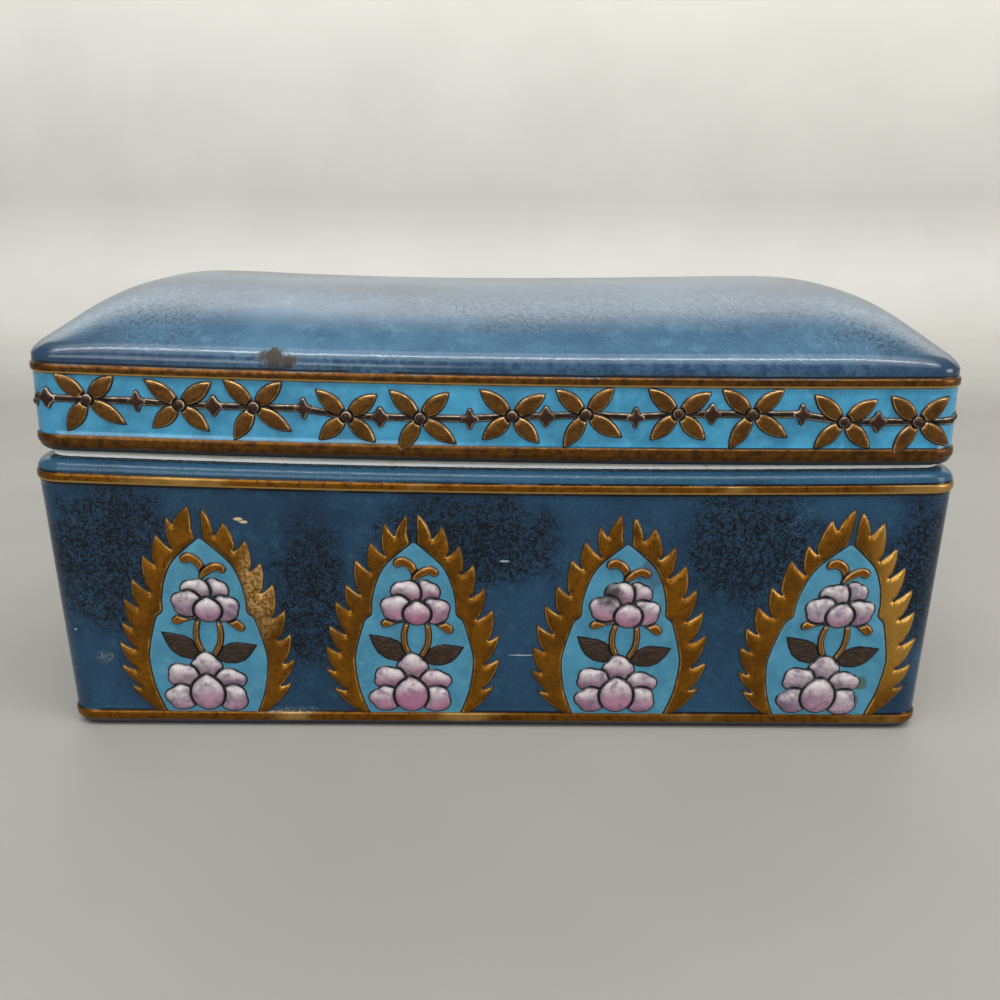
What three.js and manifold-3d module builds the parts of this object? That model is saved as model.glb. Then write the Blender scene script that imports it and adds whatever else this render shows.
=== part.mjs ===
// A glazed porcelain table box in the cloisonne style: a slip-cast body and a loose lid, each one
// piece of ceramic with its gilt bands, flames, flowers and leaves raised on the walls.
// Millimetres, +Z up. The origin is the middle of the underside and the front wall faces -Y.
import * as THREE from 'three';
import { mergeVertices } from 'three/addons/utils/BufferGeometryUtils.js';
import Module from 'manifold-3d';

const wasm = await Module();
wasm.setup();

// Driving dimensions.
const BODY_LENGTH = 205.4;
const BODY_DEPTH = 112;
const LID_LENGTH = 203.6;
const LID_DEPTH = 110.4;
const CORNER_RADIUS = 7;
const TIGHTEST_RADIUS = 2.5;
const WALL = 6;
const FLOOR = 7.2;
const BODY_TAPER = 1.9;
const LID_TAPER = 0.3;

// Heights above the foot, at the middle of the length.
const FOOT_TOP = 1.7;
const FOOT_BAND_TOP = 4.0;
const BODY_BAND_BOTTOM = 58.7;
const BODY_BAND_TOP = 60.8;
const SHOULDER_TOP = 63.7;
const RIM_TOP = 64.4;
const LID_BOTTOM = 65.4;
const LID_BAND_BOTTOM = 66.9;
const FRIEZE_BOTTOM = 69.2;
const FRIEZE_TOP = 82.5;
const LID_BAND_TOP = 84.6;

// Insets from the widest part of each piece, and the sizes of what hides between and under them.
const SHOULDER_INSET = 3.3;
const RIM_INSET = 3.8;
const RIM_INNER_INSET = 6.5;
const RIM_LEDGE = 4;
const LIP_DROP = 3.5;
const LIP_THICKNESS = 2.6;
const LIP_CLEARANCE = 0.6;
const RECESS_DEPTH = 1.2;
const FOOT_RING = 7;
const FOOT_BEVEL = [[1.8, 0], [0.6, 0.5]];
const FLOOR_FILLET = [[0, 5], [1.6, 1.5], [5, 0]];
const BAND_RAISE = 0.4;
const BAND_BEVEL = 0.2;

// The lid's crown: its rise over the edge, and how far in from the ends and the sides it takes.
const LID_EDGE_RADIUS = 3.1;
const LID_FOOT_ROUND = [[1.1, 0], [0.3, 0.4], [0, 1.2]];
const LID_VAULT_HAUNCH = [[2.6, 3], [1.6, 7]];
const CROWN_INSETS = [0.5, 1.5, 3.1, 7, 12, 18, 26, 36, 49.2];
const VAULT_INSETS = [49.2, 36, 24, 16, 11];
const CROWN_RISE = 12.4;
const CROWN_END = { reach: 57, power: 6 };
const CROWN_SIDE = { reach: 60, power: 3.5 };

// How the kiln warped each piece: lift at both ends, and tilt down from left to right.
const BODY_WARP = { lift: 1.6, tilt: 1 };
const LID_WARP = { lift: 1.2, tilt: 1.3 };
const CROWN_WARP = { lift: 1.7, lean: 1.4 };

// Relief on the walls.
const MEDALLION_PITCH = 48;
const MEDALLION_SHIFT = 5;
const MEDALLION_BASE = 3.9;
const FLAME_RAISE = 0.9;
const LICK_TIP_RAISE = 0.35;
const LEAF_RAISE = 0.5;
const PETAL_RAISE = 1.0;
const FRIEZE_RAISE = 0.8;
const CHAIN_RAISE = 0.35;
const PLATE_EMBED = 0.8;
const STUD_EMBED = 0.3;

// Corners closer than this are welded when the solids are joined.
const WELD = 0.02;

// Facets of a ring along a side, an end and a corner.
const SEGMENTS = { long: 7, short: 4, corner: 3 };

const warpBody = (x, z) => {
  const t = x / (BODY_LENGTH / 2);
  return (z / RIM_TOP) * (BODY_WARP.lift * t * t - BODY_WARP.tilt * t);
};

const warpLid = (x) => {
  const t = x / (LID_LENGTH / 2);
  return LID_WARP.lift * t * t - LID_WARP.tilt * t;
};

// One closed ring of a rounded rectangle, starting at the middle of the left end and running past
// the front. Its height is a number or a function of x and y.
function ring(halfLength, halfDepth, radius, height) {
  const front = [];
  const endRun = halfDepth - radius;
  const sideRun = halfLength - radius;
  const arc = (cx, from) => {
    for (let i = 0; i <= SEGMENTS.corner; i++) {
      const a = from + (i / SEGMENTS.corner) * (Math.PI / 2);
      front.push([cx + radius * Math.cos(a), -endRun + radius * Math.sin(a)]);
    }
  };
  const half = SEGMENTS.short / 2;
  for (let i = 0; i < half; i++) front.push([-halfLength, (-i / half) * endRun]);
  arc(-sideRun, Math.PI);
  for (let i = 1; i < SEGMENTS.long; i++) {
    front.push([-sideRun + (2 * sideRun * i) / SEGMENTS.long, -halfDepth]);
  }
  arc(sideRun, 1.5 * Math.PI);
  for (let i = 1; i <= half; i++) front.push([halfLength, -endRun + (i / half) * endRun]);
  const back = front.slice(1, -1).reverse().map(([x, y]) => [x, -y]);
  return [...front, ...back].map(([x, y]) => [x, y, typeof height === 'number' ? height : height(x, y)]);
}

// A closed body lofted through rings, with both end rings closed by strips from front to back.
function loft(rings) {
  const count = rings[0].length;
  const index = [];
  const at = (r, i) => r * count + (i % count);
  for (let r = 0; r + 1 < rings.length; r++) {
    for (let i = 0; i < count; i++) {
      index.push(at(r, i), at(r, i + 1), at(r + 1, i + 1), at(r, i), at(r + 1, i + 1), at(r + 1, i));
    }
  }
  const cap = (r, flip) => {
    const face = (a, b, c) => index.push(at(r, a), ...(flip ? [at(r, c), at(r, b)] : [at(r, b), at(r, c)]));
    for (let i = 0; i < count / 2; i++) {
      const near = [i, i + 1];
      const far = [(count - i) % count, count - i - 1];
      if (i > 0) face(near[0], near[1], far[0]);
      if (i + 1 < count / 2) face(near[1], far[1], far[0]);
    }
  };
  cap(0, true);
  cap(rings.length - 1, false);
  const geometry = new THREE.BufferGeometry();
  geometry.setAttribute('position', new THREE.Float32BufferAttribute(rings.flat(2), 3));
  geometry.setIndex(index);
  return geometry;
}

// Moves every vertex of a geometry by a function of its position.
function reshape(geometry, move) {
  const position = geometry.attributes.position;
  for (let i = 0; i < position.count; i++) {
    position.setXYZ(i, ...move(position.getX(i), position.getY(i), position.getZ(i)));
  }
  return geometry;
}

// A solid from a closed geometry, turned outward if its faces point in.
function solid(geometry) {
  const bare = geometry.clone();
  bare.deleteAttribute('normal');
  bare.deleteAttribute('uv');
  const merged = mergeVertices(bare, 1e-4);
  const position = merged.attributes.position;
  const index = Uint32Array.from(merged.index.array);
  let volume = 0;
  const [a, b, c] = [new THREE.Vector3(), new THREE.Vector3(), new THREE.Vector3()];
  for (let i = 0; i < index.length; i += 3) {
    a.fromBufferAttribute(position, index[i]);
    b.fromBufferAttribute(position, index[i + 1]);
    c.fromBufferAttribute(position, index[i + 2]);
    volume += a.dot(b.cross(c));
  }
  if (volume < 0) index.reverse();
  return new wasm.Manifold(new wasm.Mesh({ numProp: 3, vertProperties: position.array, triVerts: index }));
}

function join(main, reliefs) {
  return reliefs.reduce((sum, relief) => sum.add(solid(relief)), solid(main));
}

function toMesh(name, joined, color, roughness) {
  const mesh = joined.simplify(WELD).getMesh();
  const geometry = new THREE.BufferGeometry();
  geometry.setAttribute('position', new THREE.BufferAttribute(Float32Array.from(mesh.vertProperties), 3));
  geometry.setIndex(new THREE.BufferAttribute(Uint32Array.from(mesh.triVerts), 1));
  geometry.computeVertexNormals();
  const material = new THREE.MeshStandardMaterial({ color, roughness, metalness: 0 });
  const part = new THREE.Mesh(geometry, material);
  part.name = name;
  return part;
}

// Relief pieces are made flat, as (along the wall, height, out of the wall), and laid on a wall. A
// plate is level, or lower at the points that are its tips.
function plate(points, raise, tips = [], tipRaise = raise) {
  const shape = new THREE.Shape(points.map((p) => new THREE.Vector2(...p)));
  const geometry = new THREE.ExtrudeGeometry(shape, { depth: raise + PLATE_EMBED, bevelEnabled: false });
  const isTip = (u, v) => tips.some((tip) => Math.hypot(tip[0] - u, tip[1] - v) < WELD);
  return reshape(geometry.translate(0, 0, -PLATE_EMBED), (u, v, h) => (
    [u, v, h > 0 && isTip(u, v) ? tipRaise : h]));
}

// A pyramid whose outline at the wall is a polygon of the given half-sizes, turned by an angle.
function stud(u, v, halfLength, halfWidth, angle, raise, sides = 6) {
  const grow = (raise + STUD_EMBED) / raise;
  const geometry = new THREE.ConeGeometry(1, raise + STUD_EMBED, sides);
  geometry.rotateX(Math.PI / 2).rotateZ(Math.PI / 2);
  geometry.scale(halfLength * grow, halfWidth * grow, 1);
  return geometry.rotateZ(angle).translate(u, v, (raise - STUD_EMBED) / 2);
}

const WALLS = {
  front: (u, v, out, size) => [u, -(size.depth / 2 + out), v],
  back: (u, v, out, size) => [-u, size.depth / 2 + out, v],
  left: (u, v, out, size) => [-(size.length / 2 + out), -u, v],
  right: (u, v, out, size) => [size.length / 2 + out, u, v],
};

const bodyInset = (z) => BODY_TAPER * Math.max(0, 1 - z / SHOULDER_TOP);
const lidInset = (z) => LID_TAPER * Math.max(0, (z - LID_BOTTOM) / (LID_BAND_TOP - LID_BOTTOM));

const onBody = (side) => (geometry) => reshape(geometry, (u, v, h) => {
  const [x, y, z] = WALLS[side](u, v, h - bodyInset(v), { length: BODY_LENGTH, depth: BODY_DEPTH });
  return [x, y, z + warpBody(x, z)];
});

const onLid = (side) => (geometry) => reshape(geometry, (u, v, h) => {
  const [x, y, z] = WALLS[side](u, v, h - lidInset(v), { length: LID_LENGTH, depth: LID_DEPTH });
  return [x, y, z + warpLid(x)];
});

// Corner radius of a ring, tighter where the ring lies further in.
const cornerRadius = (inset) => Math.max(CORNER_RADIUS - 0.6 * inset, TIGHTEST_RADIUS);

// A gilt band: four rings of a wall that stand out between two heights.
const band = (outer, low, high) => [
  outer(low), outer(low + BAND_BEVEL, BAND_RAISE), outer(high - BAND_BEVEL, BAND_RAISE), outer(high)];

// The body: foot ring, tapered wall with a gilt band low down and another near the top, a rounded
// shoulder, a bare rim that the lid rests on, and the hollow inside.
function bodyShell() {
  const at = (inset, z) => ring(BODY_LENGTH / 2 - inset, BODY_DEPTH / 2 - inset, cornerRadius(inset), z);
  const outer = (z, raise = 0) => at(bodyInset(z) - raise, z);
  const innerInset = (z) => bodyInset(z) + WALL;
  const recess = BODY_TAPER + FOOT_RING;
  const shoulder = [0.25, 0.5, 0.75, 1].map((t) => {
    const a = (t * Math.PI) / 2;
    const rise = (SHOULDER_TOP - BODY_BAND_TOP) * Math.sin(a);
    return at(SHOULDER_INSET * (1 - Math.cos(a)), BODY_BAND_TOP + rise);
  });
  const rings = [
    at(recess + 1, RECESS_DEPTH),
    at(recess, 0),
    ...FOOT_BEVEL.map(([inset, z]) => at(BODY_TAPER + inset, z)),
    ...band(outer, FOOT_TOP, FOOT_BAND_TOP),
    ...band(outer, BODY_BAND_BOTTOM, BODY_BAND_TOP),
    ...shoulder,
    at(RIM_INSET, RIM_TOP),
    at(RIM_INNER_INSET, RIM_TOP),
    at(innerInset(RIM_TOP - RIM_LEDGE), RIM_TOP - RIM_LEDGE),
    ...FLOOR_FILLET.map(([inset, z]) => at(innerInset(FLOOR + z) + inset, FLOOR + z)),
  ];
  return reshape(loft(rings), (x, y, z) => [x, y, z + warpBody(x, z)]);
}

// Rise of the lid's top above its rounded edge, pillow-shaped and dipped in the middle.
function crown(x, y) {
  const rise = (gap, { reach, power }) => 1 - Math.pow(1 - Math.min(Math.max(gap / reach, 0), 1), power);
  const t = x / (LID_LENGTH / 2);
  const fill = rise(LID_LENGTH / 2 - Math.abs(x), CROWN_END) * rise(LID_DEPTH / 2 - Math.abs(y), CROWN_SIDE);
  return fill * (CROWN_RISE + CROWN_WARP.lift * t * t + CROWN_WARP.lean * t * (1 - t * t));
}

// The lid: a locating lip, a flat underside, a wall with two gilt bands and the frieze between
// them, a rounded edge and the crowned top, hollow underneath.
function lidShell() {
  const at = (inset, height) => {
    const halfDepth = LID_DEPTH / 2 - inset;
    const radius = Math.min(cornerRadius(inset) + 0.25 * inset, 0.9 * halfDepth);
    return ring(LID_LENGTH / 2 - inset, halfDepth, radius, height);
  };
  const outer = (z, raise = 0) => at(lidInset(z) - raise, z);
  const edge = (inset, thickness = 0) => {
    const d = Math.min(inset, LID_EDGE_RADIUS);
    const round = Math.sqrt(LID_EDGE_RADIUS ** 2 - (LID_EDGE_RADIUS - d) ** 2);
    return at(inset, (x, y) => LID_BAND_TOP + round + crown(x, y) - thickness);
  };
  const lipOuter = (LID_LENGTH - BODY_LENGTH) / 2 + RIM_INNER_INSET + LIP_CLEARANCE;
  const lipInner = lipOuter + LIP_THICKNESS;
  const rings = [
    ...VAULT_INSETS.map((inset) => edge(inset, WALL)),
    ...LID_VAULT_HAUNCH.map(([inset, down]) => at(WALL + inset, LID_BAND_TOP - down)),
    at(WALL + LID_VAULT_HAUNCH[1][0], LID_BOTTOM + 2 * LIP_DROP),
    at(lipInner, LID_BOTTOM + LIP_DROP),
    at(lipInner, LID_BOTTOM - LIP_DROP),
    at(lipOuter, LID_BOTTOM - LIP_DROP),
    at(lipOuter, LID_BOTTOM),
    ...LID_FOOT_ROUND.map(([inset, z]) => at(inset, LID_BOTTOM + z)),
    ...band(outer, LID_BAND_BOTTOM, FRIEZE_BOTTOM),
    ...band(outer, FRIEZE_TOP, LID_BAND_TOP),
    ...CROWN_INSETS.map((inset) => edge(inset)),
  ];
  return reshape(loft(rings), (x, y, z) => [x, y, z + warpLid(x)]);
}

// Flame medallion: a gourd-shaped field inside a pair of flame halves whose licks point up and out.
// Points are across and up from the middle of the medallion's base, for the left half.
const FLAME_TIPS = new THREE.CatmullRomCurve3(
  [[-1, 51.4], [-9.6, 45], [-16.6, 33], [-20.6, 18.5], [-20.2, 8.6]].map(([u, v]) => new THREE.Vector3(u, v, 0)));
const LICK_NOTCH = { across: 2.8, down: 3.1 };
const FLAME_FOOT = [-16.4, 2.4];
const FIELD_EDGE = [[-0.6, 44.4], [-5.6, 40.4], [-8.5, 34.6], [-9.7, 26.3], [-12.3, 22.8], [-13.9, 16.9],
  [-14.1, 11.6], [-13.1, 5.6], [-10.4, 0]];

function flameHalf(licks) {
  const tips = Array.from({ length: licks }, (_, i) => {
    const tip = FLAME_TIPS.getPoint(i / (licks - 1));
    return [tip.x, tip.y];
  });
  const edge = tips.flatMap(([u, v], i) => (
    i > 0 ? [[u + LICK_NOTCH.across, v - LICK_NOTCH.down], [u, v]] : [[u, v]]));
  return { tips, outline: [...edge, FLAME_FOOT, ...[...FIELD_EDGE].reverse()] };
}

// Petals are [across, up, radius]; the two flowers stand on a pair of leaves and a small calyx.
const UPPER_PETALS = [[-2.2, 31.2, 2.5], [2.2, 31.2, 2.5], [-4.7, 27.9, 2.7], [4.7, 27.9, 2.7], [0, 26, 3.1]];
const UPPER_BLOOM = [0, 28.5, 5.2];
const LOWER_PETALS = [
  [0, 12.6, 3.7], [-6, 9.4, 3.1], [6, 9.4, 3.1], [-6.3, 4, 3.1], [6.3, 4, 3.1], [0, 4.7, 4]];
const PETAL_STRETCH = 1.1;
const LEAF = { u: 6.7, v: 17.6, halfLength: 5.2, halfWidth: 2.2, angle: 0.55 };
const CALYX = { u: 5.6, v: 23.6, halfLength: 3.5, halfWidth: 1.1, angle: 0.3 };

const mirrored = (points) => points.map(([u, v]) => [-u, v]).reverse();

function medallion(centre, licks, full) {
  const shifted = (points) => points.map(([u, v]) => [u + centre, v + MEDALLION_BASE]);
  const petal = ([u, v, r]) => stud(
    u + centre, v + MEDALLION_BASE, r * PETAL_STRETCH, r, 0, PETAL_RAISE, full ? 6 : 4);
  const pair = ({ u, v, halfLength, halfWidth, angle }, turn) => [-1, 1].map((side) => stud(
    centre + side * u, v + MEDALLION_BASE, halfLength, halfWidth, side * turn * angle, LEAF_RAISE, 4));
  const { tips, outline } = flameHalf(licks);
  const flames = [(points) => points, mirrored].map((side) => plate(
    shifted(side(outline)), FLAME_RAISE, shifted(side(tips)), LICK_TIP_RAISE));
  if (!full) return [...flames, ...[...LOWER_PETALS, UPPER_BLOOM].map(petal)];
  return [...flames, ...[...LOWER_PETALS, ...UPPER_PETALS].map(petal), ...pair(LEAF, 1), ...pair(CALYX, -1)];
}

const rowOf = (count) => Array.from({ length: count }, (_, i) => (i - (count - 1) / 2) * MEDALLION_PITCH);

// Nine licks and full flowers on the front; the back and the ends are plainer.
const FRONT_LICKS = 9;
const PLAIN_LICKS = 5;

function bodyRelief() {
  return [
    ...rowOf(4).flatMap((u) => medallion(u + MEDALLION_SHIFT, FRONT_LICKS, true).map(onBody('front'))),
    ...rowOf(4).flatMap((u) => medallion(u, PLAIN_LICKS, false).map(onBody('back'))),
    ...['left', 'right'].flatMap((side) => (
      rowOf(2).flatMap((u) => medallion(u, PLAIN_LICKS, false).map(onBody(side))))),
  ];
}

// Frieze: four-petalled flowers strung on a chain in pairs, with a pointed link between pairs and a
// smaller one inside each pair. The pattern was laid on by hand, a pair at a time, a little up or down.
const PAIR_PITCH = 35.85;
const PAIR_STEP = 15.95;
const PETAL_ANGLES = [[140, 36, 222, 316], [139, 42, 237, 327]];
const LINK_INSIDE = 7.3;
const LINK_BETWEEN = 26.7;
const FRONT_START = -103.95;
const FRONT_LIFTS = [1.4, 0.9, -0.7, 0, 0.9, -0.7];
const END_START = -44;
const PETAL = { out: 5.2, halfLength: 3.7, halfWidth: 1.75 };
const LINK_SIZE = 1.9;
const CHAIN_HALF_WIDTH = 0.8;

function frieze(side, run, start, lifts) {
  const middle = (FRIEZE_BOTTOM + FRIEZE_TOP) / 2;
  const front = side === 'front';
  const inside = ([u]) => Math.abs(u) < run - PETAL.out;
  const hubs = [];
  const links = [];
  lifts.forEach((lift, i) => {
    const u = start + i * PAIR_PITCH;
    hubs.push([u, middle + lift, 0], [u + PAIR_STEP, middle + lift, 1]);
    links.push([u + LINK_INSIDE, middle + lift], [u + LINK_BETWEEN, middle + lift]);
  });
  const petals = hubs.filter(inside).flatMap(([u, v, kind]) => PETAL_ANGLES[kind].map((degrees) => {
    const a = THREE.MathUtils.degToRad(degrees);
    return stud(u + PETAL.out * Math.cos(a), v + PETAL.out * Math.sin(a),
      PETAL.halfLength, PETAL.halfWidth, a, FRIEZE_RAISE, front ? 6 : 4);
  }));
  const beads = front ? links.filter(inside).map(([u, v]) => (
    stud(u, v, LINK_SIZE, LINK_SIZE, 0, FRIEZE_RAISE, 4))) : [];
  const ends = [[-run, hubs[0][1]], [run, hubs.at(-1)[1]]];
  const route = front ? [ends[0], ...hubs.filter(([u]) => Math.abs(u) < run), ends[1]] : ends;
  const edge = (offset) => route.map(([u, v]) => [u, v + offset]);
  const chain = plate([...edge(-CHAIN_HALF_WIDTH), ...edge(CHAIN_HALF_WIDTH).reverse()], CHAIN_RAISE);
  return [...petals, ...beads, chain].map(onLid(side));
}

function lidRelief() {
  const longRun = LID_LENGTH / 2 - CORNER_RADIUS;
  const endRun = LID_DEPTH / 2 - CORNER_RADIUS;
  return [
    ...frieze('front', longRun, FRONT_START, FRONT_LIFTS),
    ...frieze('back', longRun, FRONT_START, FRONT_LIFTS.map(() => 0)),
    ...['left', 'right'].flatMap((side) => frieze(side, endRun, END_START, [0, 0, 0])),
  ];
}

const BODY_BLUE = 0x2c4558;
const LID_BLUE = 0x476b86;
const GLAZE_ROUGHNESS = 0.15;

const box = new THREE.Group();
box.add(toMesh('box_body', join(bodyShell(), bodyRelief()), BODY_BLUE, GLAZE_ROUGHNESS));
box.add(toMesh('lid', join(lidShell(), lidRelief()), LID_BLUE, GLAZE_ROUGHNESS));

export default box;
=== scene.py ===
import math

import bpy
import numpy as np
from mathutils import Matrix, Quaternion, Vector
from mathutils.geometry import delaunay_2d_cdt


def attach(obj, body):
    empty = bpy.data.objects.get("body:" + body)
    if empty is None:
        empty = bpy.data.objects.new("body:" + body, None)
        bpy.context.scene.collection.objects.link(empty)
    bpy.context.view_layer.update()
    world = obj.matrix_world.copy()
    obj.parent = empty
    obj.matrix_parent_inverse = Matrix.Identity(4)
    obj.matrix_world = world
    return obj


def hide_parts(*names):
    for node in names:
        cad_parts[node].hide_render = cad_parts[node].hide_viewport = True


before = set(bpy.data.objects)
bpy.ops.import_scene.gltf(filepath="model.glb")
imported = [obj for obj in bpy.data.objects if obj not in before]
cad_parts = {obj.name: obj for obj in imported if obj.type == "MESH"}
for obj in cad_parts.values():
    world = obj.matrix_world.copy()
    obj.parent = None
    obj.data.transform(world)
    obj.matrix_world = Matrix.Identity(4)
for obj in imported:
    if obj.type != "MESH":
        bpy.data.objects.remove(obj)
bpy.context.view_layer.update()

# ----------------------------------------------------------------------
# Box body. A slip-cast porcelain tray with a foot ring, walls that flare a little upward, a gilt
# band low down and one near the top, a rounded blue shoulder and a bare white rim for the lid.
# It is glazed slate blue, sponged with darker lacy clouds, and unglazed on the rim and under it.
MM = 0.001
BODY_LENGTH, BODY_DEPTH, BODY_TAPER = 205.4, 112.0, 1.9
CORNER_RADIUS, TIGHTEST_RADIUS = 7.0, 2.5
WALL, FLOOR, FOOT_RING, RECESS, RECESS_INSET = 6.0, 7.2, 7.0, 1.2, 16.0
FOOT_TOP, FOOT_BAND_TOP = 1.7, 4.0
BODY_BAND_BOTTOM, BODY_BAND_TOP = 58.7, 60.8
SHOULDER_TOP, RIM_TOP = 63.7, 64.4
SHOULDER_INSET, RIM_INSET, RIM_INNER_INSET = 3.3, 3.8, 6.5
BAND_RAISE = 0.38
RIM_BOW, RIM_TILT = 1.6, 1.0
BODY_SLOT, LID_SLOT = "body_glaze", "lid_glaze"


def ring(half_length, half_depth, radius, steps=(176, 96, 8)):
    """Points round a rounded rectangle, from the middle of the left end past the front."""
    along, across, turn = steps
    run, span = half_length - radius, half_depth - radius

    def arc(cx, cy, start):
        angles = start + np.linspace(0, math.pi / 2, turn + 1)
        return np.c_[cx + radius * np.cos(angles), cy + radius * np.sin(angles)]

    def line(a, b, count):
        return np.linspace(a, b, count, endpoint=False)[1:]

    half = across // 2
    return np.vstack([
        np.linspace((-half_length, 0), (-half_length, -span), half, endpoint=False),
        arc(-run, -span, math.pi), line((-run, -half_depth), (run, -half_depth), along),
        arc(run, -span, 1.5 * math.pi), line((half_length, -span), (half_length, span), across),
        arc(run, span, 0), line((run, half_depth), (-run, half_depth), along),
        arc(-run, span, math.pi / 2), line((-half_length, span), (-half_length, 0), half)])


def corner_radius(inset):
    return max(CORNER_RADIUS - 0.6 * inset, TIGHTEST_RADIUS)


def piece(name, points, faces, marks, finish, slot):
    """A mesh piece in metres from points in millimetres, with a number at each point per mark."""
    mesh = bpy.data.meshes.new(name)
    mesh.from_pydata((np.asarray(points) * MM).tolist(), [], faces)
    mesh.shade_smooth()
    for mark, values in marks.items():
        layer = mesh.attributes.new(mark, "FLOAT", "POINT")
        layer.data.foreach_set("value", np.asarray(values, np.float32))
    mesh.materials.append(finish)
    made = bpy.data.objects.new(name, mesh)
    bpy.context.scene.collection.objects.link(made)
    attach(made, "root")
    return made


class Casting:
    """A lofted casting, gathered ring by ring; each ring has a level and is glazed or bare."""

    def __init__(self):
        self.points, self.levels, self.bare = [], [], []

    def add(self, flat, z, level, bare):
        self.points.append(np.c_[flat, z])
        self.levels.append(np.full(len(flat), level))
        self.bare.append(np.full(len(flat), bare))

    def make(self, name, finish, slot):
        """The mesh, its first and last ring closed by strips from front to back."""
        count, last = len(self.points[0]), len(self.points) - 1
        faces = [(r * count + i, r * count + (i + 1) % count,
                  (r + 1) * count + (i + 1) % count, (r + 1) * count + i)
                 for r in range(last) for i in range(count)]
        for r, flip in ((0, True), (last, False)):
            for i in range(count // 2):
                corner = [i, i + 1, count - i - 1, (count - i) % count]
                corner = [r * count + c for c in dict.fromkeys(corner)]
                faces.append(tuple(corner[::-1] if flip else corner))
        marks = {"level": np.concatenate(self.levels), "bare": np.concatenate(self.bare)}
        return piece(name, np.vstack(self.points), faces, marks, finish, slot)


def body_warp(x, z):
    """How far firing lifted the wall: the rim bows up at the ends and tilts up to the left."""
    t = x / (BODY_LENGTH / 2)
    return (z / RIM_TOP) * (RIM_BOW * t * t - RIM_TILT * t)


def body_inset(z):
    """How far the wall stands in from the widest line, for its flare."""
    return BODY_TAPER * np.maximum(0, 1 - np.asarray(z) / SHOULDER_TOP)


def rounded_band(low, high, inset_at):
    """Level and inset of a gilt band's rings: a low bead with soft edges."""
    shares = ((0, 0), (0.07, 0.55), (0.17, 0.9), (0.32, 1), (0.68, 1), (0.83, 0.9), (0.93, 0.55), (1, 0))
    levels = [low + t * (high - low) for t, _ in shares]
    return [(z, float(inset_at(z)) - rise * BAND_RAISE) for z, (_, rise) in zip(levels, shares)]


# The profile runs from the foot's recess up the wall, over the rim and down to the floor inside:
# height, inset from the widest line, and 1 where the clay is bare.
body_profile = [(RECESS, RECESS_INSET, 1), (RECESS, BODY_TAPER + FOOT_RING + 1, 1),
                (0, BODY_TAPER + FOOT_RING, 1), (0, BODY_TAPER + 1.9, 1), (0.12, BODY_TAPER + 1.2, 0),
                (0.5, BODY_TAPER + 0.6, 0), (1.1, BODY_TAPER + 0.25, 0)]
body_profile += [(z, inset, 0) for z, inset in rounded_band(FOOT_TOP, FOOT_BAND_TOP, body_inset)]
body_profile += [(z, float(body_inset(z)), 0)
                 for z in np.linspace(FOOT_BAND_TOP, BODY_BAND_BOTTOM, 34)[1:-1]]
body_profile += [(z, inset, 0) for z, inset in rounded_band(BODY_BAND_BOTTOM, BODY_BAND_TOP, body_inset)]
for turn in np.linspace(0.1, 1, 10) * math.pi / 2:
    body_profile.append((BODY_BAND_TOP + (SHOULDER_TOP - BODY_BAND_TOP) * math.sin(turn),
                         SHOULDER_INSET * (1 - math.cos(turn)), 0))
body_profile += [(64.0, 3.42, 0.8), (64.3, 3.6, 1), (RIM_TOP, RIM_INSET, 1), (RIM_TOP, 6.3, 1),
                 (64.2, RIM_INNER_INSET, 1), (60.4, WALL + 0.1, 1), (40.0, WALL + 0.8, 1),
                 (FLOOR + 5, WALL + 1.6, 1), (FLOOR + 1.5, WALL + 3.4, 1), (FLOOR, WALL + 6.6, 1),
                 (FLOOR, 30.0, 1), (FLOOR, 49.0, 1)]
body = Casting()
for z, inset, bare in body_profile:
    flat = ring(BODY_LENGTH / 2 - inset, BODY_DEPTH / 2 - inset, corner_radius(inset))
    body.add(flat, z + body_warp(flat[:, 0], z), z, bare)


class Wire:
    """A socket in a material's node tree. Arithmetic on it adds Math nodes."""

    def __init__(self, tree, socket=None):
        self.tree, self.socket = tree, socket

    def node(self, kind, settings=(), inputs=(), output=0):
        made = self.tree.nodes.new("ShaderNode" + kind)
        for key, value in dict(settings).items():
            if key == "stops":
                while len(made.color_ramp.elements) < len(value):
                    made.color_ramp.elements.new(0.5)
                for stop, (position, colour) in zip(made.color_ramp.elements, value):
                    stop.position, stop.color = position, colour
            else:
                setattr(made, key, value)
        for key, value in dict(inputs).items():
            if isinstance(value, Wire):
                self.tree.links.new(value.socket, made.inputs[key])
            else:
                made.inputs[key].default_value = value
        return Wire(self.tree, made.outputs[output])

    def maths(self, operation, *values):
        return self.node("Math", {"operation": operation}, dict(enumerate(values)))

    def __add__(self, other):
        return self.maths("ADD", self, other)

    def __sub__(self, other):
        return self.maths("SUBTRACT", self, other)

    def __rsub__(self, other):
        return self.maths("SUBTRACT", other, self)

    def __mul__(self, other):
        return self.maths("MULTIPLY", self, other)

    __radd__, __rmul__ = __add__, __mul__

    def size(self):
        return self.maths("ABSOLUTE", self)

    def least(self, other):
        return self.maths("MINIMUM", self, other)

    def most(self, other):
        return self.maths("MAXIMUM", self, other)

    def above(self, level, blur):
        """0 below the level, 1 above it, soft over the blur."""
        return self.node("MapRange", {"interpolation_type": "SMOOTHSTEP"},
                         {"Value": self, "From Min": level - blur, "From Max": level + blur})

    def between(self, low, high, low_blur, high_blur):
        """1 from the low level to the high one, soft over a blur at each."""
        return self.above(low, low_blur) * (1 - self.above(high, high_blur))

    def mix(self, first, second):
        """This mask as the share of the second colour over the first."""
        return self.node("Mix", {"data_type": "RGBA"}, {0: self, 6: first, 7: second}, 2)


def srgb(red, green, blue):
    def linear(c):
        c /= 255
        return c / 12.92 if c <= 0.04045 else ((c + 0.055) / 1.055) ** 2.4
    return (linear(red), linear(green), linear(blue), 1.0)


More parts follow.
